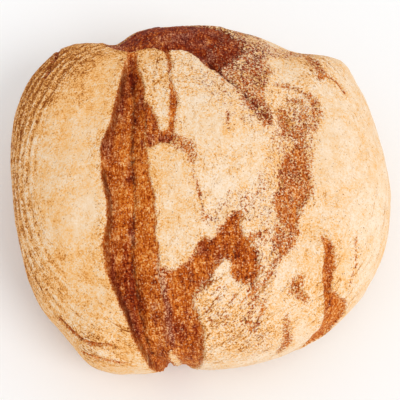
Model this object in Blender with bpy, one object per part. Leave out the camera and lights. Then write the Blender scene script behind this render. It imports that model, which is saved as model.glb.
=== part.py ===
"""A round sourdough loaf, baked as one piece and standing on its flat base.

Frame: metres, +Z up, +Y to the back, origin in the middle of the base.
The body is a domed profile carried round an outline: an arched crown, a waist,
a side that rolls under, and a flat base. The long tear left by the baker's cut
runs from front to back beside the left lobe, and the crust swells or sinks
in a few broad places.
"""

import math

import bmesh
import bpy
from mathutils import Vector

MM = 0.001

# Driving dimensions, in millimetres.
HEIGHT = 100.0  # base to crown
WAIST = 42.0  # height of the widest ring
BASE_SHARE = 0.68  # reach of the flat base over the reach of the waist
FULLNESS = 2.25  # superellipse power of the arch: 2 is a plain ellipse, more is fuller
CORE_REACH = 114.0  # plain round reach that the crown follows, inside the outline
OUTLINE_FROM = 0.35  # share of the reach where the round crown starts to take the outline's shape
OUTLINE_FULL = 0.95  # share of the reach where it has it fully

# The outline at the waist: (bearing in degrees from +X towards +Y, reach in millimetres).
OUTLINE = [
    (0, 114), (14, 114), (34, 120), (43, 123), (54, 111), (70, 108), (96, 110),
    (109, 113), (119, 110), (131, 126), (143, 128), (155, 123), (168, 115), (180, 110),
    (198, 109), (214, 113), (230, 116), (240, 121), (252, 114), (262, 105), (275, 106),
    (297, 109), (314, 113), (343, 115),
]

# Where the profile turns, as shares of the way from the crown (0) to the middle of the base (1).
DOME_END = 0.54
SIDE_END = 0.76

# The long tear, seen from above: (x, y, half width) in millimetres, from the back to the front.
TEAR = [
    (-41, 90, 10), (-45, 60, 12), (-43, 5, 15), (-41, -30, 15), (-36, -65, 17),
    (-28, -92, 18), (-22, -118, 18),
]
TEAR_DEPTH = 4.0
TEAR_FLOOR = 0.55  # share of the half width that is fully deep
TEAR_RIM = 1.15  # share of the half width where the tear has run out

# Broad swellings and hollows: name, (x, y) of the middle, (across, along) spread, rise, millimetres.
SWELLINGS = [
    ("left_lobe", (-76, -8), (24, 62), 3.0),
    ("crown_swell", (8, 8), (26, 50), 2.5),
    ("right_shoulder", (84, 6), (24, 50), 3.0),
    ("middle_hollow", (52, 12), (11, 48), -2.5),
    ("back_burst", (-8, 96), (48, 14), 2.5),
]

SWELL_CENTRE = 34.0  # height of the point that the relief stands away from
SWELL_FROM = 4.0  # height below which the underside keeps its plain shape

GRID = 22  # squares along each edge of the ball's six patches
CRUST_COLOUR = (0.78, 0.52, 0.26, 1.0)
CRUST_ROUGHNESS = 0.85


def ease(low, high, value):
    """0 below low, 1 above high, and a smooth S between them."""
    t = min(1.0, max(0.0, (value - low) / (high - low)))
    return t * t * (3 - 2 * t)


def outline_reach(bearing):
    """Reach of the waist at a bearing in degrees: a smooth closed curve through OUTLINE."""
    count = len(OUTLINE)
    after = next((i for i, (mark, _) in enumerate(OUTLINE) if mark > bearing), 0)
    marks = []
    for step in (-2, -1, 0, 1):
        turns, index = divmod(after + step, count)
        mark, reach = OUTLINE[index]
        marks.append((mark + 360 * turns, reach))
    if after == 0:
        marks = [(mark + 360, reach) for mark, reach in marks]
    (a0, r0), (a1, r1), (a2, r2), (a3, r3) = marks
    span = a2 - a1
    t = (bearing - a1) / span
    start_slope = (r2 - r0) / (a2 - a0) * span
    end_slope = (r3 - r1) / (a3 - a1) * span
    return (
        (2 * t**3 - 3 * t**2 + 1) * r1
        + (t**3 - 2 * t**2 + t) * start_slope
        + (3 * t**2 - 2 * t**3) * r2
        + (t**3 - t**2) * end_slope
    )


def profile(way):
    """(share of the reach, height) at a share of the way from the crown to the base's middle."""
    power = 2 / FULLNESS
    if way < DOME_END:
        turn = way / DOME_END * math.pi / 2
        return math.sin(turn) ** power, WAIST + (HEIGHT - WAIST) * math.cos(turn) ** power
    if way < SIDE_END:
        turn = (way - DOME_END) / (SIDE_END - DOME_END) * math.pi / 2
        share = BASE_SHARE + (1 - BASE_SHARE) * math.cos(turn) ** power
        return share, WAIST * (1 - math.sin(turn) ** power)
    return BASE_SHARE * (1 - way) / (1 - SIDE_END), 0.0


def body_point(direction):
    """The plain body where a direction on the unit ball lands on it."""
    way = math.acos(max(-1.0, min(1.0, direction.z))) / math.pi
    angle = math.atan2(direction.y, direction.x)
    share, height = profile(way)
    rim = BASE_SHARE if way > SIDE_END else 1.0
    detail = ease(OUTLINE_FROM, OUTLINE_FULL, share / rim)
    reach = CORE_REACH + (outline_reach(math.degrees(angle) % 360) - CORE_REACH) * detail
    return Vector((reach * share * math.cos(angle), reach * share * math.sin(angle), height))


def tear_depth(x, y):
    """Depth of the long tear under a point in plan: full along its middle, 0 at its edges."""
    deepest = 0.0
    for (ax, ay, aw), (bx, by, bw) in zip(TEAR, TEAR[1:]):
        along = ((x - ax) * (bx - ax) + (y - ay) * (by - ay)) / ((bx - ax) ** 2 + (by - ay) ** 2)
        along = min(1.0, max(0.0, along))
        away = math.hypot(x - ax - along * (bx - ax), y - ay - along * (by - ay))
        half_width = aw + along * (bw - aw)
        deepest = max(deepest, 1 - ease(TEAR_FLOOR, TEAR_RIM, away / half_width))
    return TEAR_DEPTH * deepest


def relief(x, y):
    """How far the crust stands out of the plain body at a point in plan, in millimetres."""
    rise = -tear_depth(x, y)
    for _, (mid_x, mid_y), (across, along), height in SWELLINGS:
        rise += height * math.exp(-(((x - mid_x) / across) ** 2) - ((y - mid_y) / along) ** 2)
    return rise


def shaped(point):
    """The body with its relief, which fades out down the side and leaves the base flat."""
    outward = (point - Vector((0, 0, SWELL_CENTRE))).normalized()
    fade = ease(SWELL_FROM, WAIST, point.z)
    return point + outward * relief(point.x, point.y) * fade


def ball(bm):
    """A closed ball of six square patches of GRID by GRID, evenly spread by a tangent rule."""
    bmesh.ops.create_cube(bm, size=2.0)
    bmesh.ops.subdivide_edges(bm, edges=bm.edges, cuts=GRID - 1, use_grid_fill=True)
    for vertex in bm.verts:
        spread = [math.tan(c * math.pi / 4) for c in vertex.co]
        vertex.co = Vector(spread).normalized()


def centred(bm):
    """Puts the middle of the bounding box over the origin, and keeps the base at height 0."""
    for axis in (0, 1):
        places = [vertex.co[axis] for vertex in bm.verts]
        middle = (min(places) + max(places)) / 2
        for vertex in bm.verts:
            vertex.co[axis] -= middle


def crust_material():
    """Matt floured crust."""
    material = bpy.data.materials.new("crust")
    material.use_nodes = True
    shader = material.node_tree.nodes["Principled BSDF"]
    shader.inputs["Base Color"].default_value = CRUST_COLOUR
    shader.inputs["Roughness"].default_value = CRUST_ROUGHNESS
    shader.inputs["Metallic"].default_value = 0.0
    return material


def make_loaf():
    """The loaf as one closed mesh object."""
    bm = bmesh.new()
    ball(bm)
    for vertex in bm.verts:
        vertex.co = shaped(body_point(vertex.co))
    centred(bm)
    bmesh.ops.scale(bm, vec=(MM, MM, MM), verts=bm.verts)
    bmesh.ops.recalc_face_normals(bm, faces=bm.faces)
    mesh = bpy.data.meshes.new("loaf")
    bm.to_mesh(mesh)
    bm.free()
    mesh.shade_smooth()
    mesh.materials.append(crust_material())
    loaf = bpy.data.objects.new("loaf", mesh)
    bpy.context.scene.collection.objects.link(loaf)
    return loaf


for leftover in list(bpy.data.objects):
    bpy.data.objects.remove(leftover)
make_loaf()
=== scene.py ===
# %% [markdown]
# # A torn, floured sourdough loaf
# A sourdough loaf is one lump of dough that rose in a cane basket, was tipped on to a hot stone, cut
# once with a blade and baked. The cut opened into one long tear, the skin split again in smaller
# places, and flour stayed on the skin wherever it didn't stretch. Everything here is therefore one
# skin: one closed mesh, worked out with numpy, and one material that knows where the flour is.
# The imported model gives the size, so it is loaded first and its box is kept.

# %% Load the frame
import math

import bpy
import numpy as np
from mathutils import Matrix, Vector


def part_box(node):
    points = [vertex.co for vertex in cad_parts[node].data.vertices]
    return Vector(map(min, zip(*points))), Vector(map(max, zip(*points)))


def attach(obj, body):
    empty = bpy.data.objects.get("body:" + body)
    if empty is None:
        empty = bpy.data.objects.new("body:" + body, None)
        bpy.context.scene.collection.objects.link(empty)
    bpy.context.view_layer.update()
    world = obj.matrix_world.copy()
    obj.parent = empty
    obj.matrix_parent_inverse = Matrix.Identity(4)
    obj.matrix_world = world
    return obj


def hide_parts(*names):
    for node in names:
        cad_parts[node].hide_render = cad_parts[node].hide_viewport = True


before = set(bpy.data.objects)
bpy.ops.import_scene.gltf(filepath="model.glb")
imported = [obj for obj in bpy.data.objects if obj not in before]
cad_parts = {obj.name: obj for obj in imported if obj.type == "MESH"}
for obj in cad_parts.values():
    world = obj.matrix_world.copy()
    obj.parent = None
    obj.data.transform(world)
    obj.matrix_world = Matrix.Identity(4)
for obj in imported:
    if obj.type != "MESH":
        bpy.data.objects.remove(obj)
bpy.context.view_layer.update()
LOW, HIGH = (np.array(corner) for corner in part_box("loaf"))
MM = 0.001
print("the loaf's box in millimetres:", np.round((HIGH - LOW) / MM, 1))

# %% [markdown]
# ## The plain body
# Before any tear, the loaf is a domed body with a flat base. It could be a squashed ball pulled about
# by hand, but then nothing else could be placed on it. So it is a profile, from the middle of the
# crown over the widest ring and under to the base, carried round an outline seen from above.
# A smooth curve through a few bearings gives the outline its lobe, its notch and its shoulder.

# %% Sizes of the body, in millimetres, and its outline
WAIST = 42.0
CROWN = 100.0
BASE_SHARE = 0.68
FULLNESS = 2.25
CORE_REACH = 114.0
OUTLINE = [
    (0, 114), (14, 114), (34, 120), (43, 123), (54, 111), (70, 108), (96, 110),
    (109, 113), (119, 110), (131, 126), (143, 128), (155, 123), (168, 115), (180, 110),
    (198, 109), (214, 113), (230, 116), (240, 121), (252, 114), (262, 105), (275, 106),
    (297, 109), (314, 113), (343, 115),
]

# Where the profile turns, as shares of the way from the crown (0) to the base's middle (1).
DOME_END = 0.62
SIDE_END = 0.80
print("outline points:", len(OUTLINE))

# %% Smooth steps and smooth curves


def ease(low, high, value):
    """0 below low, 1 above high, and a smooth S between them: 3t^2 - 2t^3."""
    t = np.clip((value - low) / (high - low), 0.0, 1.0)
    return t * t * (3.0 - 2.0 * t)


def smooth_through(marks, values, where):
    """A smooth curve through a few points: a cubic between each two, which leaves each point
    with the slope of the line that joins its two neighbours."""
    marks = np.asarray(marks, float)
    values = np.asarray(values, float)
    slopes = np.gradient(values, marks)
    left = np.clip(np.searchsorted(marks, where, side="right") - 1, 0, len(marks) - 2)
    span = marks[left + 1] - marks[left]
    t = np.clip((where - marks[left]) / span, 0.0, 1.0)
    rise = 3 * t**2 - 2 * t**3
    return (
        values[left] * (1 - rise)
        + values[left + 1] * rise
        + slopes[left] * span * (t**3 - 2 * t**2 + t)
        + slopes[left + 1] * span * (t**3 - t**2)
    )


print("halfway up a smooth step:", float(ease(0, 2, 1)))

# %% The body as a profile round an outline
OUTLINE_FROM = 0.35
OUTLINE_FULL = 0.95


def outline_reach(angle):
    """Reach of the waist at each bearing: the smooth curve through OUTLINE, closed on itself."""
    marks, reaches = np.array(OUTLINE, float).T
    marks = np.concatenate([marks[-2:] - 360, marks, marks[:2] + 360])
    reaches = np.concatenate([reaches[-2:], reaches, reaches[:2]])
    return smooth_through(marks, reaches, np.degrees(angle) % 360)


def profile(way):
    """Share of the reach, and height, at each share of the way from the crown (0) to the base's
    middle (1): a superellipse arch, a second one rolling under, then the flat base."""
    power = 2 / FULLNESS
    arch = np.clip(way / DOME_END, 0, 1) * np.pi / 2
    under = np.clip((way - DOME_END) / (SIDE_END - DOME_END), 0, 1) * np.pi / 2
    share = np.where(
        way < DOME_END,
        np.sin(arch) ** power,
        BASE_SHARE + (1 - BASE_SHARE) * np.abs(np.cos(under)) ** power,
    )
    share = np.where(way < SIDE_END, share, BASE_SHARE * (1 - way) / (1 - SIDE_END))
    height = np.where(
        way < DOME_END,
        WAIST + (CROWN - WAIST) * np.abs(np.cos(arch)) ** power,
        WAIST * (1 - np.sin(under) ** power),
    )
    return share, height


def plain_body(way, angle):
    """Points of the body: the outline's reach times the share, turned to the bearing. Near the
    crown the outline gives way to a plain circle, so no ridges run up to the top."""
    share, height = profile(way)
    rim = np.where(way > SIDE_END, share / BASE_SHARE, share)
    detail = ease(OUTLINE_FROM, OUTLINE_FULL, rim)
    reach = CORE_REACH + (outline_reach(angle) - CORE_REACH) * detail
    points = np.stack([reach * share * np.cos(angle), reach * share * np.sin(angle), height], -1)
    return points, reach


steps = np.linspace(0, 1, 2001)
share_line, height_line = profile(steps)
stride = np.hypot(np.diff(share_line * CORE_REACH), np.diff(height_line))
TAPE = np.concatenate([[0.0], np.cumsum(stride)])
print("over the crust, crown to waist:", round(float(np.interp(DOME_END, steps, TAPE))), "mm")

# %% [markdown]
# ## An even net of points
# Rings and spokes would crowd at the crown, just where the tears are. Six square patches bent on to
# a ball are nearly even everywhere, so the net is a cube blown up into a ball. Each patch keeps its
# own place on the UV map. The columns are drawn together a little where the long tear runs, because
# its lip is the sharpest thing on the loaf.

# %% One patch of the net
NET = 128
TEAR_COLUMN = -0.52
CROWDING = 1.0
CROWD_WIDTH = 0.22


def crowded(u):
    """Moves the lines -1..1 together near TEAR_COLUMN: the running total of a spacing that is
    narrow there and wide elsewhere, scaled so that both ends stay put."""
    fine = np.linspace(-1, 1, 4001)
    density = 1 + CROWDING * np.exp(-(((fine - TEAR_COLUMN) / CROWD_WIDTH) ** 2))
    total = np.cumsum(density)
    total = 2 * (total - total[0]) / (total[-1] - total[0]) - 1
    return np.interp(u, total, fine)


def patch_directions(normal, across, up):
    """One patch: directions from the middle to a square grid on one side of a cube. The tangent
    spreads the lines evenly by angle."""
    line = np.linspace(-1, 1, NET + 1)
    u, v = np.meshgrid(line, line)
    place = np.array(normal) + u[..., None] * np.array(across) + v[..., None] * np.array(up)
    place[..., 0] = crowded(place[..., 0])
    place = np.tan(place * np.pi / 4)
    return place / np.linalg.norm(place, axis=-1, keepdims=True)


# %% Six patches, welded along their edges
# Each side of the cube: its normal, its across and up, and its block (left, bottom, right, top)
# on the UV map.
SIDES = [
    ((0, 0, 1), (1, 0, 0), (0, 1, 0), (0.0, 0.5, 0.5, 1.0)),
    ((0, -1, 0), (1, 0, 0), (0, 0, 1), (0.5, 0.667, 1.0, 1.0)),
    ((1, 0, 0), (0, 1, 0), (0, 0, 1), (0.5, 0.333, 1.0, 0.667)),
    ((0, 1, 0), (-1, 0, 0), (0, 0, 1), (0.5, 0.0, 1.0, 0.333)),
    ((-1, 0, 0), (0, -1, 0), (0, 0, 1), (0.0, 0.167, 0.5, 0.5)),
    ((0, 0, -1), (1, 0, 0), (0, -1, 0), (0.0, 0.0, 0.5, 0.167)),
]

patches = np.array([patch_directions(*side[:3]) for side in SIDES]).reshape(-1, 3)
_, first, welded = np.unique(np.round(patches, 6), axis=0, return_index=True, return_inverse=True)
welded = welded.reshape(len(SIDES), NET + 1, NET + 1)
directions = patches[first]
quads = np.stack(
    [welded[:, :-1, :-1], welded[:, :-1, 1:], welded[:, 1:, 1:], welded[:, 1:, :-1]], -1
).reshape(-1, 4)
print("points:", len(directions), "quads:", len(quads))

# %% [markdown]
# ## The crust map
# Every mark on the crust needs an address. A flat map does it: lay a tape measure over the crust
# from the crown, and draw each point at its bearing, as far out as the tape says. Distances from
# the crown are then true, even down the steep sides. All later positions, in millimetres, are on
# this map: x to the right, y to the back, the crown at (0, 0).

# %% Points of the body, and their places on the map
way = np.arccos(np.clip(directions[:, 2], -1, 1)) / np.pi
angle = np.arctan2(directions[:, 1], directions[:, 0])
bearing = np.degrees(angle) % 360
body, reach = plain_body(way, angle)
tape = np.interp(way, steps, TAPE) * reach / CORE_REACH
map_x = tape * np.cos(angle)
map_y = tape * np.sin(angle)
print("the map reaches", round(float(tape.max())), "mm from the crown")

# %% Which way is out


def outward_of(points):
    """Unit normals: each quad's crossed diagonals, added up at its corners."""
    a, b, c, d = (points[quads[:, k]] for k in range(4))
    crossed = np.cross(c - a, d - b)
    total = np.zeros_like(points)
    for k in range(4):
        for axis in range(3):
            total[:, axis] += np.bincount(quads[:, k], crossed[:, axis], len(points))
    return total / np.linalg.norm(total, axis=1, keepdims=True)


outward = outward_of(body)
print("normals point out:", bool(np.einsum("ij,ij->i", outward, body - [0, 0, WAIST]).min() > 0))

# %% [markdown]
# ## Unevenness
# Nothing torn or baked is regular, so each edge and surface gets some unevenness. It is lumps of a
# chosen size: random heights at the corners of a grid of cubes, blended smoothly in between. The
# random numbers come from a fixed seed, so the loaf is the same one every time.

# %% Lumps
DICE = np.random.default_rng(7).uniform(-1, 1, (32, 32, 32))


def lumps(points, size, shift=0):
    """Smooth random heights, -1..1: grid corners take fixed random values, and each point blends
    the eight around it with S curves."""
    spot = points / size + 37.3 * (shift + 1)
    cell = np.floor(spot).astype(int)
    t = spot - cell
    t = t * t * (3 - 2 * t)
    total = np.zeros(len(points))
    for dx in (0, 1):
        for dy in (0, 1):
            for dz in (0, 1):
                weight = (
                    np.abs(1 - dx - t[:, 0]) * np.abs(1 - dy - t[:, 1]) * np.abs(1 - dz - t[:, 2])
                )
                corner = (cell + (dx, dy, dz)) % 32
                total += weight * DICE[corner[:, 0], corner[:, 1], corner[:, 2]]
    return total


def rough(points, size, shift=0, octaves=3):
    """Lumps on lumps: each layer has half the size and 0.55 of the height of the one before."""
    total = np.zeros(len(points))
    for k in range(octaves):
        total += lumps(points, size / 2**k, shift + k) * 0.55**k
    return total


print("lumps between", round(lumps(body, 6).min(), 2), "and", round(lumps(body, 6).max(), 2))

# %% [markdown]
# ## Two kinds of mark
# Tears that run along a line are strokes: a path, with a half width at each point. Bare patches are
# closed shapes. Both become one number for every point of the loaf: how many millimetres it lies
# inside the mark's edge, negative outside. Depth, colour and roughness can all be made from that
# number, so they agree with each other. The edge first wanders by a few lumps, so that it looks
# torn and not cut.

# %% An edge that wanders, and a curve through points


def wander(coarse, fine, shift=0):
    """The map with each point moved by lumps, 9 mm and 2.5 mm in size, by so many millimetres."""
    move_x = coarse * lumps(body, 9, shift) + fine * lumps(body, 2.5, shift + 1)
    move_y = coarse * lumps(body, 9, shift + 2) + fine * lumps(body, 2.5, shift + 3)
    return map_x + move_x, map_y + move_y


def curve_through(path, count=8):
    """The path's points with a smooth curve run through them, count steps for each stretch."""
    path = np.array(path, float)
    marks = np.arange(len(path))
    fine = np.linspace(0, len(path) - 1, (len(path) - 1) * count + 1)
    return np.stack([smooth_through(marks, column, fine) for column in path.T], -1)


print("an edge wanders by up to", round(float(np.abs(wander(0.8, 0.5)[0] - map_x).max()), 1), "mm")

# %% Strokes


def stroke(path, coarse=0.8, fine=0.5, shift=0):
    """Millimetres inside a stroke: the half width, blended along the path, minus the distance to
    the path. Each path point is (x, y, half width)."""
    x, y = wander(coarse, fine, shift)
    inside = np.full(len(x), -1e3)
    line = curve_through(path)
    for (ax, ay, aw), (bx, by, bw) in zip(line[:-1], line[1:]):
        length = (bx - ax) ** 2 + (by - ay) ** 2 + 1e-9
        t = np.clip(((x - ax) * (bx - ax) + (y - ay) * (by - ay)) / length, 0, 1)
        away = np.hypot(x - ax - t * (bx - ax), y - ay - t * (by - ay))
        inside = np.maximum(inside, aw + t * (bw - aw) - away)
    return inside


print("points inside a trial stroke:", int((stroke([(0, -20, 3), (0, 20, 3)]) > 0).sum()))

# %% Patches


def patch(corners, coarse=1.5, fine=0.7, shift=0):
    """Millimetres inside a closed shape: the distance to its nearest side, positive where the
    shape's sides wind round the point."""
    x, y = wander(coarse, fine, shift)
    ring = curve_through(corners + corners[:1], 5)
    away = np.full(len(x), 1e3)
    within = np.zeros(len(x), bool)
    for (ax, ay), (bx, by) in zip(ring[:-1], ring[1:]):
        length = (bx - ax) ** 2 + (by - ay) ** 2 + 1e-9
        t = np.clip(((x - ax) * (bx - ax) + (y - ay) * (by - ay)) / length, 0, 1)
        away = np.minimum(away, np.hypot(x - ax - t * (bx - ax), y - ay - t * (by - ay)))
        crosses = (ay > y) != (by > y)
        step = by - ay if by != ay else 1e-9
        within ^= crosses & (x < ax + (y - ay) / step * (bx - ax))
    return np.where(within, away, -away)


trial = patch([(-20, -20), (20, -20), (20, 20), (-20, 20)])
print("points inside a trial patch:", int((trial > 0).sum()))

# %% [markdown]
# ## The long tear
# This is where the baker's blade went in. In the oven the skin on its left peeled back into a proud,
# sharp edge, and the dough beside it welled up bare. Its left lip, its dark groove and its right
# edge are three lines that run from back to front, so each is an x for every y on the map. The band
# between the first and the last is bare crumb. Towards the foot of the loaf the tear gets softer.
# Its floor could be one brown, but the ends opened first and baked longest, so the toast is a pale
# middle with a browner stretch in front and another behind, a little darker left of the groove.

# %% Lines of the long tear
TEAR_Y = [-180, -150, -120, -90, -60, -30, 0, 30, 75]
LEFT_LIP_X = [-27, -30, -34, -43, -52, -50, -55, -48, -42]
GROOVE_X = [-21, -25, -29, -33, -37, -36, -38, -38, -41]
RIGHT_EDGE_X = [-10, -17, -20, -19, -22, -24, -29, -30, -38]
TEAR_BACK = 76
TEAR_FRONT = -182

foot = ease(105, 150, tape)
lip = smooth_through(TEAR_Y, LEFT_LIP_X, map_y)
lip += 1.2 * lumps(body, 12, 40) + 0.5 * lumps(body, 5, 41) * ease(150, 110, tape)
groove = smooth_through(TEAR_Y, GROOVE_X, map_y)
groove += 0.6 * lumps(body, 8, 43) + 0.5 * lumps(body, 3, 44)
right_edge = smooth_through(TEAR_Y, RIGHT_EDGE_X, map_y)
right_edge += 1.3 * lumps(body, 7, 45) + 0.6 * lumps(body, 2.5, 46)
print("the tear is", round(float(np.median(right_edge - lip))), "mm wide in the middle")

# %% Where a point stands in the long tear
TEAR_TAPER = 0.35
LIP_THICKNESS = 0.9

past_lip = map_x - lip
before_edge = right_edge - map_x
tear_ends = np.minimum(TEAR_BACK - map_y, map_y - TEAR_FRONT) * TEAR_TAPER
in_tear = np.minimum(np.minimum(past_lip + LIP_THICKNESS, before_edge), tear_ends)
tear_open = ease(80, 50, map_y) * ease(-185, -150, map_y)
print("points in the long tear:", int((in_tear > 0).sum()))

# %% How toasted the long tear is
TOAST_AWAY = 0.12
TOAST_FRONT = 0.30
TOAST_BACK = 0.46
TOAST_LEFT = 0.14
GROOVE_TOAST_PLACE = 2.2
GROOVE_TOAST_WIDTH = 3.0

front_stretch = ease(-130, -95, map_y) * ease(-35, -75, map_y)
back_stretch = ease(-20, 30, map_y)
toast = TOAST_AWAY + TOAST_FRONT * front_stretch + TOAST_BACK * back_stretch
left_more = TOAST_LEFT + 0.1 * front_stretch - TOAST_LEFT * back_stretch
toast += left_more * ease(4, -4, map_x - groove)
by_groove = np.exp(-(((map_x - groove + GROOVE_TOAST_PLACE) / GROOVE_TOAST_WIDTH) ** 2))
toast += (0.1 + 0.18 * ease(-30, -50, map_y)) * by_groove
toast *= ease(-1, 2, in_tear)
print("toast in the long tear:", np.round(np.percentile(toast[in_tear > 2], (5, 50, 95)), 2))

# %% [markdown]
# ## The tears behind the crown
# The dough burst through behind, and browned most there. A second crack runs forward from the burst
# and cuts off a tongue of floured skin. These could be painted, but a list of strokes and patches
# gives depth and colour together. A crisp tear has a clean edge, and a stretched one only lets the
# brown show between grains of flour, so each mark also says how deep it goes, how ragged its edge
# is and how toasted its floor. The last number is the most that the mark bares its middle: below 0,
# the flour stays and is only speckled through.

# %% Marks behind: name, kind, points, depth, raggedness 0..1, toast 0..1, most bare (millimetres)
SOLID = 8.0
MARKS = [
    ("back burst", patch, [
        (-60, 92), (-56, 84), (-44, 76), (-37, 77), (-28, 77), (-22, 73), (-13, 73), (-6, 71),
        (1, 63), (6, 56), (12, 55), (17, 60), (24, 68), (30, 78), (24, 92), (12, 106), (-4, 116),
        (-24, 122), (-48, 116), (-62, 102),
    ], 1.6, 0.35, 0.9, SOLID),
    ("burst fringe", stroke, [
        (8, 60, 4.0), (22, 64, 8.0), (34, 78, 10.0), (30, 96, 10.0), (10, 116, 9.0), (-20, 124, 7.0),
        (-52, 116, 6.0), (-62, 100, 4.0),
    ], 0.3, 1.0, 0.8, -0.3),
    ("behind the tongue", stroke, [
        (-20, 76, 2.0), (-18, 68, 1.3), (-17, 61, 1.0), (-16, 50, 0.5), (-15, 42, 1.2),
        (-14, 36, 2.3), (-14, 30, 2.5), (-15, 22, 2.0), (-16, 12, 2.0),
    ], 1.2, 0.35, 0.45, SOLID),
    ("below the tongue", patch, [
        (-30, 34), (-26, 30), (-23, 20), (-21, 13), (-16, 12), (-12, 9), (-15, 5), (-22, 5),
        (-30, 6),
    ], 1.2, 0.35, 0.5, SOLID),
    ("speckled spur", stroke, [
        (-16, 8, 2.6), (-11, 5, 2.8), (-5, 2, 2.8), (-4, -5, 2.0),
    ], 0.4, 0.8, 0.3, 0.4),
    ("thin crack", stroke, [
        (-4, -4, 1.0), (-3, -10, 0.5), (-1, -18, 0.5), (0, -25, 0.8), (2, -33, 0.4), (2, -39, 0.6),
    ], 0.7, 0.5, 0.7, SOLID),
    ("back crack", stroke, [
        (3, 70, 2.0), (9, 60, 2.2), (15, 52, 2.0), (25, 41, 1.0), (31, 34, 1.8), (36, 28, 1.8),
        (41, 20, 0.8),
    ], 1.6, 0.4, 0.95, SOLID),
    ("back speckle", patch, [
        (6, 56), (16, 50), (24, 36), (32, 24), (38, 18), (42, 24), (38, 36), (40, 46), (42, 60),
        (40, 76), (34, 92), (20, 100), (8, 80),
    ], 0.3, 1.0, 0.6, 0.4),
    ("back smear", stroke, [(30, 74, 5.0), (48, 82, 6.5), (70, 84, 4.0)], 0.2, 1.0, 0.45, -0.5),
    ("crown smear", stroke, [(2, 50, 6.0), (22, 30, 6.0), (28, 20, 3.0)], 0.1, 1.0, 0.4, -1.7),
    ("shoulder tear", stroke, [
        (68, 80, 2.0), (72, 71, 3.4), (75, 63, 2.4), (73, 57, 1.2),
    ], 0.6, 0.8, 0.45, 0.6),
    ("shoulder fold", stroke, [
        (76, 61, 0.7), (83, 60, 0.9), (90, 50, 0.6),
    ], 0.9, 0.3, 0.25, SOLID),
]
print("marks behind:", len(MARKS))

# %% [markdown]
# ## The band down the middle
# To the right of the crown the skin stretched without tearing: a broad speckled band runs forward,
# barest in its middle. It is a few wide strokes with very ragged edges, and a wide halo under them
# that bares nothing but lets specks through, so the band fades out instead of ending.

# %% Marks in the middle
MARKS += [
    ("curved streak", stroke, [
        (45, 49, 0.5), (53, 48, 0.9), (60, 45, 1.1), (66, 40, 1.8), (68, 31, 2.6), (66, 20, 2.0),
    ], 0.5, 0.9, 0.45, 0.5),
    ("upper island", stroke, [
        (49, 29, 3.0), (51, 22, 4.4), (56, 16, 4.4), (61, 20, 2.6), (62, 29, 1.8),
    ], 0.4, 0.9, 0.45, 0.7),
    ("upper speckle", stroke, [(57, 34, 6.0), (57, 14, 9.0), (57, 2, 8.0)], 0.2, 1.0, 0.5, -0.7),
    ("middle band", stroke, [
        (58, 8, 3.0), (57, 2, 5.0), (54, -8, 8.5), (54, -19, 9.5), (50, -29, 8.0), (50, -37, 5.0),
        (53, -44, 3.5),
    ], 0.9, 1.0, 0.45, 1.4),
    ("band halo", stroke, [
        (52, 20, 9.0), (50, -8, 13.0), (46, -24, 14.0), (44, -40, 10.0),
    ], 0.1, 1.0, 0.4, -1.5),
]
print("marks so far:", len(MARKS))

# %% [markdown]
# ## The slanting patch in front
# In front the band turns into a wide bare patch that slants down to the foot of the long tear, with
# smaller splits beside it. The patch's outline is given corner by corner, because nothing regular
# would look torn, and the curve through the corners and the wandering edge do the rest.

# %% Marks in front
MARKS += [
    ("slanting patch", patch, [
        (-23, -64), (-14, -67), (-8, -64), (-3, -59), (1, -53), (4, -50), (8, -50), (14, -41),
        (21, -34), (24, -37), (24, -46), (28, -51), (33, -56), (34, -66), (33, -74), (27, -76),
        (20, -71), (18, -64), (13, -62), (7, -73), (-3, -83), (1, -92), (3, -103), (4, -116),
        (2, -134), (-6, -150), (-22, -156), (-26, -100),
    ], 1.7, 0.5, 0.44, 2.6),
    ("arm", stroke, [(24, -53, 2.0), (30, -50, 1.8), (37, -46, 1.0)], 0.8, 0.5, 0.4, SOLID),
    ("tail", stroke, [
        (31, -74, 3.0), (31, -84, 2.6), (29, -91, 1.4), (31, -99, 1.4),
    ], 0.4, 0.9, 0.45, 0.4),
    ("patch halo", stroke, [
        (8, -40, 4.0), (24, -28, 6.0), (33, -40, 5.0), (38, -60, 5.0), (36, -80, 4.0),
    ], 0.1, 1.0, 0.4, -1.5),
    ("second patch", patch, [
        (40, -62), (40, -50), (44, -43), (52, -44), (55, -49), (51, -55), (46, -60), (42, -67),
        (39, -77), (37, -75),
    ], 0.6, 0.95, 0.4, 0.8),
    ("teardrop", stroke, [(58, -70, 1.4), (56, -76, 3.2), (62, -82, 1.6)], 0.5, 0.8, 0.35, 0.7),
    ("front split", stroke, [
        (51, -92, 0.6), (54, -100, 1.8), (58, -112, 2.6), (56, -120, 1.6),
    ], 0.6, 0.8, 0.4, 0.8),
    ("thin splits", stroke, [(38, -86, 0.6), (35, -94, 1.0), (33, -102, 0.5)], 0.5, 0.7, 0.4, 0.6),
    ("streaked front", stroke, [(8, -80, 9.0), (22, -96, 12.0), (36, -108, 12.0)], 0.1, 0.9, 0.4, -2.0),
]
print("marks so far:", len(MARKS))

# %% [markdown]
# ## Splits at the sides and the back
# A crack with a wide foot opened at the right front, small splits run along the rim, and the rings
# at the left are rubbed bare in places. Two splits low at the back finish the side that usually
# faces the wall.

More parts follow.
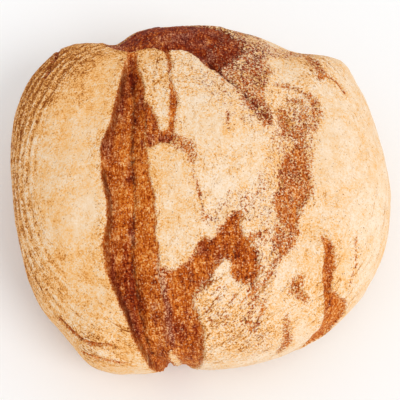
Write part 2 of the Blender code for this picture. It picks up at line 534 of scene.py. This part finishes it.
# %% Marks at the sides and the back
MARKS += [
    ("right crack", stroke, [
        (70, -46, 0.8), (74, -52, 2.8), (75, -62, 3.6), (75, -70, 3.4), (77, -78, 2.2),
    ], 1.8, 0.4, 0.38, 2.2),
    ("right foot", patch, [
        (74, -76), (83, -78), (92, -83), (99, -94), (98, -106), (92, -120), (82, -126), (78, -116),
        (80, -100), (77, -88),
    ], 1.6, 0.45, 0.35, 2.2),
    ("right hairline", stroke, [
        (92, -44, 0.3), (94, -58, 0.4), (92, -74, 0.3),
    ], 0.5, 0.4, 0.3, SOLID),
    ("crown nick", stroke, [(16, 24, 0.9), (16, 20, 0.6), (17, 14, 0.4)], 0.6, 0.4, 0.5, SOLID),
    ("front-left split", stroke, [
        (-88, -94, 1.4), (-80, -101, 1.8), (-73, -106, 1.2), (-63, -109, 1.1), (-52, -109, 0.5),
    ], 1.4, 0.35, 0.5, SOLID),
    ("lower split", stroke, [
        (-76, -117, 0.6), (-66, -119, 1.0), (-57, -122, 1.0), (-44, -124, 0.6),
    ], 1.3, 0.35, 0.5, SOLID),
    ("corner crease", stroke, [
        (-95, 64, 0.6), (-94, 73, 1.7), (-92, 84, 2.2), (-94, 96, 1.6), (-102, 106, 0.8),
    ], 1.4, 0.8, 0.95, 1.6),
    ("ring wear", stroke, [
        (-92, 92, 8.0), (-116, 60, 12.0), (-122, 20, 11.0), (-120, -20, 8.0),
    ], 0.0, 1.0, 0.4, -2.1),
    ("back splits", stroke, [
        (60, 128, 0.8), (76, 118, 2.2), (92, 104, 1.6), (102, 88, 0.6),
    ], 1.2, 0.5, 0.55, 2.0),
    ("back low split", stroke, [
        (-40, 150, 0.8), (-8, 158, 2.6), (24, 154, 2.0), (48, 142, 0.6),
    ], 1.3, 0.5, 0.6, 2.0),
]
print("marks:", len(MARKS))

# %% [markdown]
# ## Laying the marks on the loaf
# Each point of the loaf collects four numbers from all marks: how bare it is, how ragged the flour's
# edge is there, how toasted, and how much the surface sinks or rises. The most wins, so marks can
# overlap and run into each other. A crisp tear also curls its skin up a little along the edge.

# %% Every mark in turn
CURL_PLACE = 1.5
CURL_WIDTH = 1.4
CURL_HEIGHT = 0.4

bare = np.maximum(in_tear, -6.0 + 1.6 * rough(body, 12, 48))
ragged = (0.3 + 0.1 * lumps(body, 20, 49)) * (1 - 0.7 * ease(5, 1, np.abs(past_lip)))
relief = np.zeros(len(body))
apart = 1 - tear_open * ease(-4, 1, in_tear)
for number, (_, kind, points, depth, tatter, brown, most) in enumerate(MARKS):
    inside = kind(points, shift=50 + 5 * number)
    ragged = np.maximum(ragged, tatter * ease(-5, 0.5, inside))
    toast = np.maximum(toast, brown * ease(-2, 1.5, inside))
    relief -= depth * apart * ease(-0.4, 1.5, inside)
    if most > 0:
        bare = np.maximum(bare, np.minimum(inside, most))
        curl = np.exp(-(((inside + CURL_PLACE) / CURL_WIDTH) ** 2))
        relief += CURL_HEIGHT * depth * (1.2 - tatter) * apart * curl
    else:
        bare = np.maximum(bare, np.minimum(inside, 0) + most)
toast *= 1 - 0.45 * foot * ease(0, -40, map_y)
print("relief of the marks: from", round(relief.min(), 1), "to", round(relief.max(), 1), "mm")

# %% A strip of flour left at the tear's foot
floured_strip = stroke([
    (-17, -117, 0.6), (-17, -123, 2.2), (-16, -132, 2.4), (-15, -150, 2.0),
], 0.8, 0.6, 900)
bare = np.minimum(bare, -floured_strip)
print("bare share of the crust:", round(float((bare > 0).mean()), 3))

# %% [markdown]
# ## Swells and the long tear's relief
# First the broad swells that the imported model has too, then the long tear itself: the left lip
# stands proud and leans over, the floor lies lower, the groove is a row of pits, and the right edge
# is a small step. All of it is height along the normal, so it could also be a displacement map, but
# real geometry keeps the lip's shadow from every side.

# %% Broad swells: middle (x, y), spread (across, along), height
SWELLINGS = [
    ((-76, -8), (24, 62), 3.0),
    ((8, 8), (26, 50), 2.5),
    ((84, 6), (24, 50), 3.0),
    ((52, 12), (11, 48), -2.5),
    ((-8, 96), (48, 14), 2.5),
]
for (mid_x, mid_y), (across, along), height in SWELLINGS:
    spread = ((body[:, 0] - mid_x) / across) ** 2 + ((body[:, 1] - mid_y) / along) ** 2
    relief += height * np.exp(-spread)
print("relief from", round(relief.min(), 1), "to", round(relief.max(), 1), "mm")

# %% Lip, floor, groove and right edge
LIP_HEIGHT = 2.6
LIP_LEAN = 1.3
FLOOR_DEPTH = 4.2
GROOVE_DEPTH = 1.8
GROOVE_WIDTH = 2.2
LEAN_PLACE = 0.6
LEAN_WIDTH = 1.4

behind_lip = np.exp(np.minimum(past_lip, 0) / 9)
before_lip = np.exp(-2.0 * np.clip(past_lip, 0, 9))
relief += tear_open * (1 - 0.6 * foot) * LIP_HEIGHT * behind_lip * before_lip
over = past_lip / np.maximum(right_edge - lip, 4)
wall = ease(-0.3, 1.1 + 2.0 * foot, past_lip)
rise_right = 0.6 * ease(0.45, 1.0, over) + 0.4 * ease(-1.2, 0.4, -before_edge)
relief -= tear_open * FLOOR_DEPTH * wall * (1 - rise_right)
pits = np.clip(0.7 + 0.6 * lumps(body, 5, 60), 0.1, 1.5)
furrow = np.exp(-(((map_x - groove) / GROOVE_WIDTH) ** 2)) * pits
relief -= tear_open * GROOVE_DEPTH * furrow
lean = tear_open * (1 - foot) * LIP_LEAN * np.exp(-(((past_lip + LEAN_PLACE) / LEAN_WIDTH) ** 2))
print("relief with the long tear from", round(relief.min(), 1), "to", round(relief.max(), 1), "mm")

# %% [markdown]
# ## The basket's rings
# The dough rose in a basket of coiled cane, and the left side, which didn't stretch, kept the print
# of its turns: low ridges that follow the rim, one for each turn. They are a cosine of the tape
# distance, with lumps added so that no ring is perfect, and they fade where the crust is bare.

# %% Rings
RING_PITCH = 6.2
RING_HEIGHT = 0.42
RINGS_FROM = 106
RINGS_TO = 170

left_side = ease(108, 134, bearing) * (1 - ease(200, 236, bearing))
ring_zone = ease(92, RINGS_FROM, tape) * (1 - ease(RINGS_TO, 186, tape))
ring_zone *= 0.18 + 0.82 * left_side
ring_line = tape + 2.2 * lumps(body, 26, 70) + 0.8 * lumps(body, 8, 71)
ring = np.cos(2 * np.pi * ring_line / RING_PITCH) * ring_zone * (1 - ease(-1, 2, bare))
ring *= 0.75 + 0.45 * lumps(body, 11, 72)
relief += RING_HEIGHT * ring
print("rings across the side:", round((RINGS_TO - RINGS_FROM) / RING_PITCH))

# %% [markdown]
# ## Grain of crumb and skin
# Torn crumb set with its bubbles open, so it is rough at 2 to 4 mm. Floured skin is nearly smooth,
# with only a slow swell and a few faint lumps. Low on the side everything fades, because the base
# baked flat against the stone.

# %% Grain
is_bare = ease(-0.6, 1.2, bare)
crumb = 0.55 * rough(body, 4.2, 80) + 0.3 * lumps(body, 1.9, 84)
skin = 0.7 * lumps(body, 40, 85) + 0.42 * rough(body, 17, 86) + 0.12 * rough(body, 4, 89, 2)
relief += is_bare * crumb * (0.55 + 0.45 * ease(0.2, 0.6, toast)) + (1 - is_bare) * skin
relief *= ease(3, 16, body[:, 2])
print("relief in all from", round(relief.min(), 1), "to", round(relief.max(), 1), "mm")

# %% [markdown]
# ## The mesh
# The points move out along their normals by the relief, the lip leans over the tear, and the result
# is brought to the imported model's exact box. The whole array goes into the mesh at once. The UV map
# lays the six patches side by side, each in its own block with a small margin, so nothing overlaps.

# %% Shape and size
shape = body + outward * relief[:, None]
shape[:, 0] += lean
size = shape.max(0) - shape.min(0)
shape -= (shape.max(0) + shape.min(0)) / 2 * (1, 1, 0)
shape *= (HIGH - LOW) / size
shape += ((HIGH + LOW) / 2) * (1, 1, 0)
print("stretch to fit the packed box:", np.round((HIGH - LOW) / MM / size, 4))

# %% Points and quads into the mesh
mesh = bpy.data.meshes.new("crust")
mesh.vertices.add(len(shape))
mesh.vertices.foreach_set("co", shape.ravel())
mesh.loops.add(quads.size)
mesh.loops.foreach_set("vertex_index", quads.ravel())
mesh.polygons.add(len(quads))
mesh.polygons.foreach_set("loop_start", np.arange(0, quads.size, 4))
mesh.update(calc_edges=True)
mesh.shade_smooth()
print("triangles:", 2 * len(quads))

# %% UV map, one block for each patch
UV_MARGIN = 0.004

uv = np.empty((len(SIDES), NET, NET, 4, 2))
line = np.linspace(0, 1, NET + 1)
for number, (_, _, _, (left, bottom, right, top)) in enumerate(SIDES):
    u = left + UV_MARGIN + (right - left - 2 * UV_MARGIN) * line
    v = bottom + UV_MARGIN + (top - bottom - 2 * UV_MARGIN) * line
    for corner, (du, dv) in enumerate(((0, 0), (1, 0), (1, 1), (0, 1))):
        uv[number, :, :, corner, 0] = u[du : NET + du][None, :]
        uv[number, :, :, corner, 1] = v[dv : NET + dv][:, None]
mesh.uv_layers.new(name="OFBake").data.foreach_set("uv", uv.ravel())
print("corners on the UV map:", uv.size // 2)

# %% [markdown]
# ## What the material needs to know
# The material can't see the marks, so what it needs rides on the mesh as attributes, one value for
# each point: where the skin is worn and cracked, how thick the flour lies, which hollows get painted
# shade, and which crumb went purple at the edge of the fire. Attributes follow the surface exactly,
# which a pattern projected from above couldn't do on the steep sides.

# %% Worn skin: (x, y), spread, amount
WORN = [
    ((10, -105), 34, 0.8), ((-66, -108), 26, 0.6), ((-16, 56), 24, 0.8), ((-85, 85), 26, 0.7),
    ((70, -85), 26, 0.45), ((22, 20), 32, 0.2), ((55, 40), 24, 0.5), ((12, -30), 20, 0.35),
    ((60, -40), 22, 0.4), ((70, 75), 20, 0.5), ((0, 165), 90, 0.5),
]
in_wear = 0.85 * left_side * ease(88, 112, tape)
for (mid_x, mid_y), spread, amount in WORN:
    in_wear += amount * np.exp(-((map_x - mid_x) ** 2 + (map_y - mid_y) ** 2) / spread**2)
in_wear += 0.35 * ease(-7, -1, bare)
wear = np.clip(0.26 + in_wear + 0.25 * rough(body, 16, 97), 0.03, 1.2)
print("mean wear:", round(float(wear.mean()), 2))

# %% Flour: thin on the ringed side, at the rim and beside the tears; thick in the middle
dusting = 0.6 + 0.17 * ease(-35, 10, map_x) - 0.15 * left_side * ease(80, 125, tape)
dusting -= 0.12 * ease(90, 30, np.hypot(map_x + 95, map_y - 100))
dusting += 0.12 * rough(body, 34, 92)
dusting -= 0.08 * in_wear + 0.05 * ease(-8, -1, bare)
sole = 1 - ease(2, 12, shape[:, 2] / MM + 3 * lumps(body, 9, 95))
print("mean dusting:", round(float(dusting.mean()), 2))

# %% Painted shade in the hollows
# Painted shade: these values mark the back crack, the wall under the long tear's lip and its groove,
# where the crust's colour is darkened for the shade that falls there.
painted_seam_shade = stroke([
    (3, 68, 1.2), (9, 59, 1.3), (15, 51, 1.1), (25, 40, 0.7), (31, 33, 0.9), (36, 28, 0.6),
], 0.6, 0.6, 930)
painted_seam_shade += 1.0 * lumps(body, 5, 94)
painted_lip_shade = tear_open * (0.3 + 0.35 * ease(-50, -80, map_y) + 0.8 * lumps(body, 12, 96))
painted_lip_shade *= 1 - 0.8 * foot
painted_groove_shade = tear_open * (0.3 + 0.75 * pits) * ease(-1, 1, in_tear) * (1 - 0.6 * foot)
print("the groove is dark along", round(float((painted_groove_shade[in_tear > 0] > 0.7).mean()), 2), "of the tear")

# %% Purple crumb and ash
purple_seam = stroke([
    (-20, -68, 1.0), (-19, -78, 1.6), (-18, -90, 2.0), (-16, -104, 1.8), (-15, -114, 1.0),
], 1.2, 0.8, 910)
by_wall = tear_open * ease(4.5, 0.5, np.abs(past_lip - 2.0)) * (1 - foot)
by_wall *= 0.5 * (0.6 + 0.6 * lumps(body, 14, 98))
purpled = np.maximum(ease(-1.5, 2.0, purple_seam), by_wall)
ash = ease(-4, 3, stroke([(-22, -62, 2.0), (-20, -68, 3.0), (-19, -80, 1.0)], 1.2, 0.8, 920))
print("purple crumb covers", round(float((purpled > 0.5).mean()), 3), "of the crust")

# %% Values that ride on the mesh
KEPT = {
    "bare": np.clip(bare / 8, -1, 1),
    "ragged": ragged,
    "toast": toast,
    "painted_seam_shade": np.clip(painted_seam_shade, -8, 8),
    "past_lip": np.clip(past_lip, -12, 12),
    "painted_lip_shade": np.clip(painted_lip_shade, 0, 1),
    "past_groove": np.clip(map_x - groove, -12, 12),
    "painted_groove_shade": np.clip(painted_groove_shade, 0, 1),
    "purpled": purpled,
    "ash": ash,
    "dusting": dusting,
    "wear": wear,
    "rimward": ease(72, 104, tape),
    "slanting": np.exp(-(((map_x - 18) / 34) ** 2) - ((map_y + 88) / 34) ** 2),
    "ring": ring,
    "sole": sole,
}
for name, values in KEPT.items():
    mesh.attributes.new(name, "FLOAT", "POINT").data.foreach_set("value", values.astype(np.float32))
print("values on the mesh:", ", ".join(KEPT))

# %% Places that ride on the mesh, and the object
RIM_RADIUS = 100.0
PLACES = {
    "crust_map": np.stack([map_x, map_y, np.zeros_like(map_x)], -1),
    "rim_map": np.stack([RIM_RADIUS * np.cos(angle), RIM_RADIUS * np.sin(angle), tape], -1),
}
for name, places in PLACES.items():
    layer = mesh.attributes.new(name, "FLOAT_VECTOR", "POINT")
    layer.data.foreach_set("vector", places.astype(np.float32).ravel())

crust = bpy.data.objects.new("crust", mesh)
bpy.context.scene.collection.objects.link(crust)
print("places on the mesh:", ", ".join(PLACES))

# %% [markdown]
# ## Helpers for the material
# Flour and bare crust are one material, because they are one skin. Its nodes are many, so small
# helper functions make and link them, and each takes either another node's output or a plain number.
# The same network could be drawn by hand in the shader editor.

# %% Start of the material
material = bpy.data.materials.new("crust")
material.use_nodes = True
tree = material.node_tree
shader = tree.nodes["Principled BSDF"]
print("material:", material.name)

# %% Links, and sums on numbers


def feed(socket, value):
    """Links an output to the socket, or sets the socket to a plain number or colour."""
    if isinstance(value, bpy.types.NodeSocket):
        tree.links.new(value, socket)
    else:
        socket.default_value = value


def calc(operation, a, b=0.0, c=0.0):
    """One sum on numbers."""
    node = tree.nodes.new("ShaderNodeMath")
    node.operation = operation
    for socket, value in zip(node.inputs, (a, b, c)):
        feed(socket, value)
    return node.outputs[0]


def total_of(*values):
    """All the values added up."""
    total = values[0]
    for value in values[1:]:
        total = calc("ADD", total, value)
    return total


def choose(share, a, b):
    """Number a turning into number b as share goes from 0 to 1: a * (1 - share) + b * share."""
    kept_of_a = calc("MULTIPLY", a, calc("SUBTRACT", 1.0, share))
    return calc("ADD", kept_of_a, calc("MULTIPLY", b, share))


def step_up(value, low, high, bottom=0.0, top=1.0):
    """A smooth step of a number: bottom at low, top at high, and level beyond them."""
    node = tree.nodes.new("ShaderNodeMapRange")
    node.interpolation_type = "SMOOTHSTEP"
    for socket, number in zip(node.inputs, (value, low, high, bottom, top)):
        feed(socket, number)
    return node.outputs[0]


print("nodes before any sum:", len(tree.nodes))

# %% Values from the mesh, and noise


def kept(name, output="Fac"):
    """A value that rides on the mesh."""
    node = tree.nodes.new("ShaderNodeAttribute")
    node.attribute_name = name
    return node.outputs[output]


def grain(place, size, detail=2.0, rough_share=0.5, warp=0.0):
    """Noise with lumps of about this size, in the units of the place it is read at."""
    node = tree.nodes.new("ShaderNodeTexNoise")
    feed(node.inputs["Vector"], place)
    feed(node.inputs["Scale"], 1.0 / size)
    feed(node.inputs["Detail"], detail)
    feed(node.inputs["Roughness"], rough_share)
    feed(node.inputs["Distortion"], warp)
    return node.outputs["Fac"]


def swing(noise, amount):
    """Noise turned into a number that swings about 0 by this amount."""
    return calc("MULTIPLY", calc("SUBTRACT", noise, 0.5), amount)


where = tree.nodes.new("ShaderNodeTexCoord").outputs["Object"]
fine_grain = grain(where, 0.95 * MM, 2.0, 0.65)
stipple = grain(where, 1.25 * MM, 3.0, 0.65)
mid_grain = grain(where, 2.3 * MM, 3.0, 0.6)
coarse_grain = grain(where, 9 * MM, 2.0, 0.5)
worn = kept("wear")
print("nodes so far:", len(tree.nodes))

# %% [markdown]
# ## Where the flour has gone
# Flour sits on the skin until the skin stretches. A mask says where it has gone: the distance inside
# the nearest tear's edge, plus grains and streaks of noise as strong as the edge is ragged, cut off
# in a narrow step. A clean tear keeps a clean edge, and a stretched one breaks up into speckles.
# The streaks follow the way the skin was pulled: upright in most places, slanting in front.

# %% Streaks along the stretched skin
UPRIGHT = -4
SLANT = -45


def stretched(place, turn, lengths):
    """The place measured along axes turned by so many degrees, each in units of its own length, so
    that noise read there is drawn out into streaks."""
    node = tree.nodes.new("ShaderNodeMapping")
    node.vector_type = "TEXTURE"
    feed(node.inputs["Vector"], place)
    node.inputs["Rotation"].default_value = (0, 0, math.radians(turn))
    node.inputs["Scale"].default_value = lengths
    return node.outputs[0]


on_map = kept("crust_map", "Vector")
slanting = kept("slanting")
streaks = choose(
    slanting,
    grain(stretched(on_map, UPRIGHT, (1.6, 5.0, 1.6)), 1.0, 2.0, 0.6),
    grain(stretched(on_map, SLANT, (1.7, 7.5, 1.7)), 1.0, 2.0, 0.6),
)
print("streaks run at", UPRIGHT, "and", SLANT, "degrees from upright")

# %% The flour's mask
stretched_thin = kept("ragged")
streak_share = calc("MULTIPLY_ADD", slanting, 1.6, 0.6)
broken = total_of(
    swing(stipple, 1.9),
    swing(mid_grain, 0.9),
    swing(coarse_grain, 0.6),
    calc("MULTIPLY", swing(streaks, 1.0), streak_share),
)
broken_share = calc("MULTIPLY_ADD", stretched_thin, 0.9, 0.1)
edge = calc("MULTIPLY_ADD", broken, broken_share, kept("bare"))
edge_width = calc("MULTIPLY_ADD", stretched_thin, 0.09, 0.04)
flour_gone = step_up(edge, calc("MULTIPLY", edge_width, -1.0), edge_width)
print("nodes with the mask:", len(tree.nodes))

# %% [markdown]
# ## Floured skin
# Flour is cream where it lies thick and lets tan skin through where it lies thin. So its depth, with
# grains added, picks a colour from a ramp. The rings catch more of it on their ridges, and hairline
# cracks shed it: they run upright in the middle, along the rim on the sides, and aslant in front.
# On top come brown specks where grains fell off.

# %% Hairline cracks


def crack_lines(place, thin):
    """Thin broken lines: where stretched noise passes through its middle value, a line runs along
    it, and a second noise cuts the lines into short pieces."""
    level = calc("ABSOLUTE", calc("SUBTRACT", grain(place, 1.0, 1.0, 0.5, 0.4), 0.5))
    line = step_up(level, thin, 0.0)
    return calc("MULTIPLY", line, step_up(grain(place, 1.9, 1.0, 0.5), 0.5, 0.6))


along_rim = kept("rim_map", "Vector")
upright_lines = crack_lines(stretched(on_map, UPRIGHT, (1.8, 5.0, 1.8)), 0.035)
slant_lines = crack_lines(stretched(on_map, SLANT, (1.8, 7.0, 1.8)), 0.06)
rim_lines = crack_lines(stretched(along_rim, 0, (12.0, 12.0, 1.8)), 0.04)
lines = choose(slanting, choose(kept("rimward"), upright_lines, rim_lines), slant_lines)
cracked = calc("MULTIPLY", lines, calc("MULTIPLY_ADD", worn, 0.8, 0.05))
print("nodes with the cracks:", len(tree.nodes))

# %% Flour by its depth


def paint(red, green, blue):
    """A screen colour, 0..255, as the linear colour that nodes work in."""
    linear = [((c / 255 + 0.055) / 1.055) ** 2.4 for c in (red, green, blue)]
    return (*linear, 1.0)


def ramp(value, stops):
    """Colours at shares of the way, blended in between."""
    node = tree.nodes.new("ShaderNodeValToRGB")
    feed(node.inputs[0], value)
    while len(node.color_ramp.elements) < len(stops):
        node.color_ramp.elements.new(0.5)
    for element, (position, colour) in zip(node.color_ramp.elements, stops):
        element.position = position
        element.color = colour
    return node.outputs[0]


powder_grain = calc("ADD", swing(fine_grain, 1.5), swing(mid_grain, 0.9))
powder_grain = calc("MULTIPLY", powder_grain, calc("ADD", worn, 0.4))
flour_depth = total_of(
    kept("dusting"),
    powder_grain,
    swing(coarse_grain, 0.7),
    calc("MULTIPLY", kept("ring"), 0.24),
    calc("MULTIPLY", cracked, -0.6),
)
floured = ramp(flour_depth, [
    (0.0, paint(146, 80, 32)),
    (0.2, paint(212, 136, 60)),
    (0.42, paint(241, 182, 109)),
    (0.68, paint(240, 205, 163)),
    (1.0, paint(246, 224, 198)),
])
print("nodes with the flour:", len(tree.nodes))

# %% Specks where grains fell off, and the cracks' dark bottoms


def blend(share, a, b):
    """Colour a turning into colour b as share goes from 0 to 1."""
    node = tree.nodes.new("ShaderNodeMix")
    node.data_type = "RGBA"
    feed(node.inputs[0], share)
    feed(node.inputs[6], a)
    feed(node.inputs[7], b)
    return node.outputs[2]


speck_from = calc("MULTIPLY_ADD", worn, -0.08, 0.7)
speck = step_up(grain(where, 1.0 * MM, 1.0, 0.5), speck_from, 0.76)
floured = blend(calc("MULTIPLY", speck, 0.8), floured, paint(142, 78, 34))
floured = blend(calc("MULTIPLY", cracked, 0.6), floured, paint(128, 58, 16))
print("nodes with the specks:", len(tree.nodes))

# %% [markdown]
# ## Bare crust
# Bare crumb browned in the oven, from gold where the tear opened late to dark red-brown where it
# opened first. Two ramps hold the two ends, and the toast value with long streaks blends them.
# A few purple patches and grains of flour left behind go on top, because a torn crust is never one
# brown, and painted shade darkens the small pits and the hollows.

# %% Gold and dark brown
dashes = grain(stretched(on_map, 3, (1.0, 3.4, 1.0)), 1.0, 2.0, 0.65)
# These grains also set the crumb's bump, so besides the crumb's own speckle the ramps' dark ends are
# painted shade in the low spots and their light ends painted highlight on the high ones.
grain_and_painted_light = total_of(
    swing(fine_grain, 1.5),
    swing(dashes, 1.3),
    swing(mid_grain, 0.9),
    swing(coarse_grain, 0.7),
    0.5,
)
golden = ramp(grain_and_painted_light, [
    (0.05, paint(120, 40, 0)),
    (0.3, paint(172, 72, 6)),
    (0.5, paint(204, 102, 22)),
    (0.72, paint(226, 144, 62)),
    (0.95, paint(248, 200, 140)),
])
dark = ramp(grain_and_painted_light, [
    (0.05, paint(56, 8, 0)),
    (0.32, paint(110, 28, 0)),
    (0.52, paint(146, 46, 2)),
    (0.74, paint(180, 82, 26)),
    (0.96, paint(224, 156, 100)),
])
long_streaks = grain(stretched(on_map, 3, (3.4, 16.0, 3.4)), 1.0, 2.0, 0.6)
blotches = grain(where, 14 * MM, 2.0, 0.5)
browned = total_of(
    kept("toast"),
    calc("MULTIPLY", stretched_thin, 0.16),
    swing(long_streaks, 1.6),
    swing(blotches, 1.0),
)
crusted = blend(step_up(browned, 0.2, 1.0), golden, dark)
crusted = blend(step_up(browned, 0.8, 1.3, 0.0, 0.55), crusted, paint(92, 22, 2))
print("nodes with the bare crust:", len(tree.nodes))

# %% Purple patches
purple = ramp(grain_and_painted_light, [
    (0.1, paint(64, 18, 16)),
    (0.5, paint(122, 52, 38)),
    (0.95, paint(228, 176, 148)),
])
plum_patches = step_up(grain(where, 11 * MM, 3.0, 0.6), 0.5, 0.68)
plum = calc("MULTIPLY", plum_patches, step_up(browned, 0.2, 0.7, 0.0, 0.4))
plum = calc("MULTIPLY", plum, step_up(kept("bare"), 0.03, 0.3))
plum = calc("MAXIMUM", plum, calc("MULTIPLY", kept("purpled"), 0.8))
crusted = blend(plum, crusted, purple)
print("nodes with the purple patches:", len(tree.nodes))

# %% Grains left behind, and painted shade in open pits
grains_from = calc("MULTIPLY_ADD", kept("ash"), -0.2, 0.655)
grains_from = calc("MULTIPLY_ADD", stretched_thin, -0.07, grains_from)
grains_left = step_up(grain(where, 1.1 * MM, 1.0, 0.5), grains_from, calc("ADD", grains_from, 0.1))
grains_share = calc("MULTIPLY_ADD", stretched_thin, 0.22, step_up(browned, 0.6, 1.1, 0.6, 0.08))
crusted = blend(calc("MULTIPLY", grains_left, grains_share), crusted, paint(246, 196, 148))
# Painted shade: the crumb's open pits are darkened in the colour for the shade inside them.
painted_pit_shade = step_up(grain(where, 1.5 * MM, 1.0, 0.5), 0.64, 0.74)
crusted = blend(calc("MULTIPLY", painted_pit_shade, 0.5), crusted, paint(92, 30, 4))
print("nodes with the grains and pits:", len(tree.nodes))

# %% Painted shade in the hollows under the lip, in the groove and in the back crack
lip_line = calc("ABSOLUTE", total_of(kept("past_lip"), -0.9, swing(mid_grain, 2.0)))
lip_shadow = calc("MULTIPLY", step_up(lip_line, 2.0, 0.5), kept("painted_lip_shade"))
groove_line = calc("ABSOLUTE", total_of(kept("past_groove"), swing(mid_grain, 3.0)))
groove_breaks = step_up(grain(stretched(on_map, 0, (3.0, 6.0, 3.0)), 1.0, 2.0, 0.6), 0.38, 0.55, 0.4)
groove_shadow = calc("MULTIPLY", step_up(groove_line, 1.6, 0.3), kept("painted_groove_shade"))
groove_shadow = calc("MULTIPLY", groove_shadow, groove_breaks)
seam_shadow = step_up(calc("ADD", kept("painted_seam_shade"), swing(mid_grain, 2.0)), 0.0, 0.8)
painted_hollow_shade = calc("MAXIMUM", calc("MAXIMUM", lip_shadow, groove_shadow), seam_shadow)
# The hollows' shade is painted into the crust's colour as a dark brown.
crusted = blend(calc("MULTIPLY", painted_hollow_shade, 0.85), crusted, paint(78, 20, 6))
print("nodes with the hollows:", len(tree.nodes))

# %% [markdown]
# ## The underside
# The base baked against the stone: an even matt brown with a little flour from the stone on it. It
# takes over from the side's colours close to the edge of the base, where the loaf lifted off. It is
# out of sight when the loaf stands.

# %% Hearth-baked underside, and all colours together
baked_on = total_of(swing(coarse_grain, 0.6), swing(mid_grain, 0.9), swing(fine_grain, 1.2), 0.5)
hearth = ramp(baked_on, [
    (0.2, paint(138, 80, 42)),
    (0.5, paint(172, 110, 62)),
    (0.85, paint(214, 160, 106)),
])
stone_flour = step_up(calc("ADD", blotches, swing(fine_grain, 0.9)), 0.5, 0.8, 0.0, 0.7)
hearth = blend(stone_flour, hearth, paint(232, 196, 150))
both = blend(flour_gone, floured, crusted)
feed(shader.inputs["Base Color"], blend(kept("sole"), both, hearth))
feed(shader.inputs["Roughness"], calc("MULTIPLY_ADD", flour_gone, -0.3, 0.92))
shader.inputs["Metallic"].default_value = 0.0
shader.inputs["Specular IOR Level"].default_value = 0.05
print("nodes with the colours:", len(tree.nodes))

# %% [markdown]
# ## Fine relief
# Anything finer than the mesh's own quads, a little over a millimetre, is a bump: open crumb, caked
# powder, and the small step down where the flour ends. It uses the same grains as the colours, so
# that dark specks are also the low ones: on the bare crumb the dark low spots and light high spots are
# painted shade and painted highlight as well as the crumb's own speckle.

# %% Bump
BUMP_HEIGHT = 1.1 * MM

crumb_height = calc("ADD", calc("MULTIPLY", fine_grain, 0.3), calc("MULTIPLY", mid_grain, 0.6))
powder = calc("ADD", calc("MULTIPLY", fine_grain, 0.3), mid_grain)
powder = calc("MULTIPLY", powder, calc("MULTIPLY_ADD", worn, 0.3, 0.16))
powder = calc("SUBTRACT", powder, calc("MULTIPLY", cracked, 0.08))
height = choose(flour_gone, powder, crumb_height)
height = calc("SUBTRACT", height, calc("MULTIPLY", flour_gone, 0.35))
bump = tree.nodes.new("ShaderNodeBump")
bump.inputs["Strength"].default_value = 0.9
bump.inputs["Distance"].default_value = BUMP_HEIGHT
feed(bump.inputs["Height"], height)
feed(shader.inputs["Normal"], bump.outputs[0])
mesh.materials.append(material)
print("nodes in all:", len(tree.nodes))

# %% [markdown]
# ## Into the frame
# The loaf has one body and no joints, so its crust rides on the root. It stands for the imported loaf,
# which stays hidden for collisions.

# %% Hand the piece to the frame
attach(crust, "root")
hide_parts("loaf")
print("the crust rides on the root")

# %% [markdown]
# ## Floor
# The loaf stands on a plain pale floor. It is a stage, not a part of the loaf, and it lies a hair
# below the base so that the two never share a plane.

# %% A pale floor
FLOOR_REACH = 3.0
FLOOR_HEIGHT = -0.0003

floor_mesh = bpy.data.meshes.new("floor")
corners = [
    (x * FLOOR_REACH, y * FLOOR_REACH, FLOOR_HEIGHT) for x, y in ((-1, -1), (1, -1), (1, 1), (-1, 1))
]
floor_mesh.from_pydata(corners, [], [(0, 1, 2, 3)])
floor = bpy.data.objects.new("floor", floor_mesh)
bpy.context.scene.collection.objects.link(floor)
floor_material = bpy.data.materials.new("floor")
floor_material.use_nodes = True
floor_shader = floor_material.node_tree.nodes["Principled BSDF"]
floor_shader.inputs["Base Color"].default_value = (0.93, 0.93, 0.93, 1.0)
floor_shader.inputs["Roughness"].default_value = 0.9
floor_mesh.materials.append(floor_material)
print("floor at", FLOOR_HEIGHT / MM, "mm")

# %% [markdown]
# ## Light
# Bread looks best in plain soft daylight. A bright even sky does most of the work, and one broad sun
# from the right and front gives it a direction, which leaves the ringed left side a little darker.
# A sun lights the floor evenly, where a lamp close by would leave a bright pool.

# %% An even sky and a broad key light
KEY_FROM = np.array([2.0, -1.6, 2.75])
KEY_STRENGTH = 1.0
KEY_SPREAD = math.radians(28)
SKY_STRENGTH = 0.84

world = bpy.data.worlds.new("studio")
world.use_nodes = True
sky = world.node_tree.nodes["Background"]
sky.inputs["Color"].default_value = (1.0, 1.0, 1.0, 1.0)
sky.inputs["Strength"].default_value = SKY_STRENGTH
bpy.context.scene.world = world

key_light = bpy.data.lights.new("key", "SUN")
key_light.energy = KEY_STRENGTH
key_light.angle = KEY_SPREAD
key = bpy.data.objects.new("key", key_light)
bpy.context.scene.collection.objects.link(key)
tilt = math.acos(KEY_FROM[2] / np.linalg.norm(KEY_FROM))
key.rotation_euler = (tilt, 0, math.atan2(KEY_FROM[1], KEY_FROM[0]) + math.pi / 2)
print("the key light stands", round(90 - math.degrees(tilt)), "degrees up")

# %% [markdown]
# ## Camera
# The camera looks down steeply from the front with a long lens, so that the loaf keeps its shape
# without strong perspective. Its distance follows from the lens and the width to be shown.

# %% A steep view with a long lens
ELEVATION = math.radians(66)
LENS = 110.0
SENSOR = 36.0
FRAME_WIDTH = 0.2368
AIM_X = 0.0006
AIM_Y = -0.0066
AIM_HEIGHT_SHARE = 0.46

aim = np.array([AIM_X, AIM_Y, AIM_HEIGHT_SHARE * HIGH[2]])
distance = LENS / SENSOR * FRAME_WIDTH
camera_data = bpy.data.cameras.new("camera")
camera_data.lens = LENS
camera_data.sensor_width = SENSOR
camera = bpy.data.objects.new("camera", camera_data)
bpy.context.scene.collection.objects.link(camera)
camera.location = aim + distance * np.array([0, -math.cos(ELEVATION), math.sin(ELEVATION)])
camera.rotation_euler = (math.pi / 2 - ELEVATION, 0, 0)
bpy.context.scene.camera = camera
bpy.context.scene.view_settings.view_transform = "Standard"
print("camera", round(distance, 3), "m from the loaf")
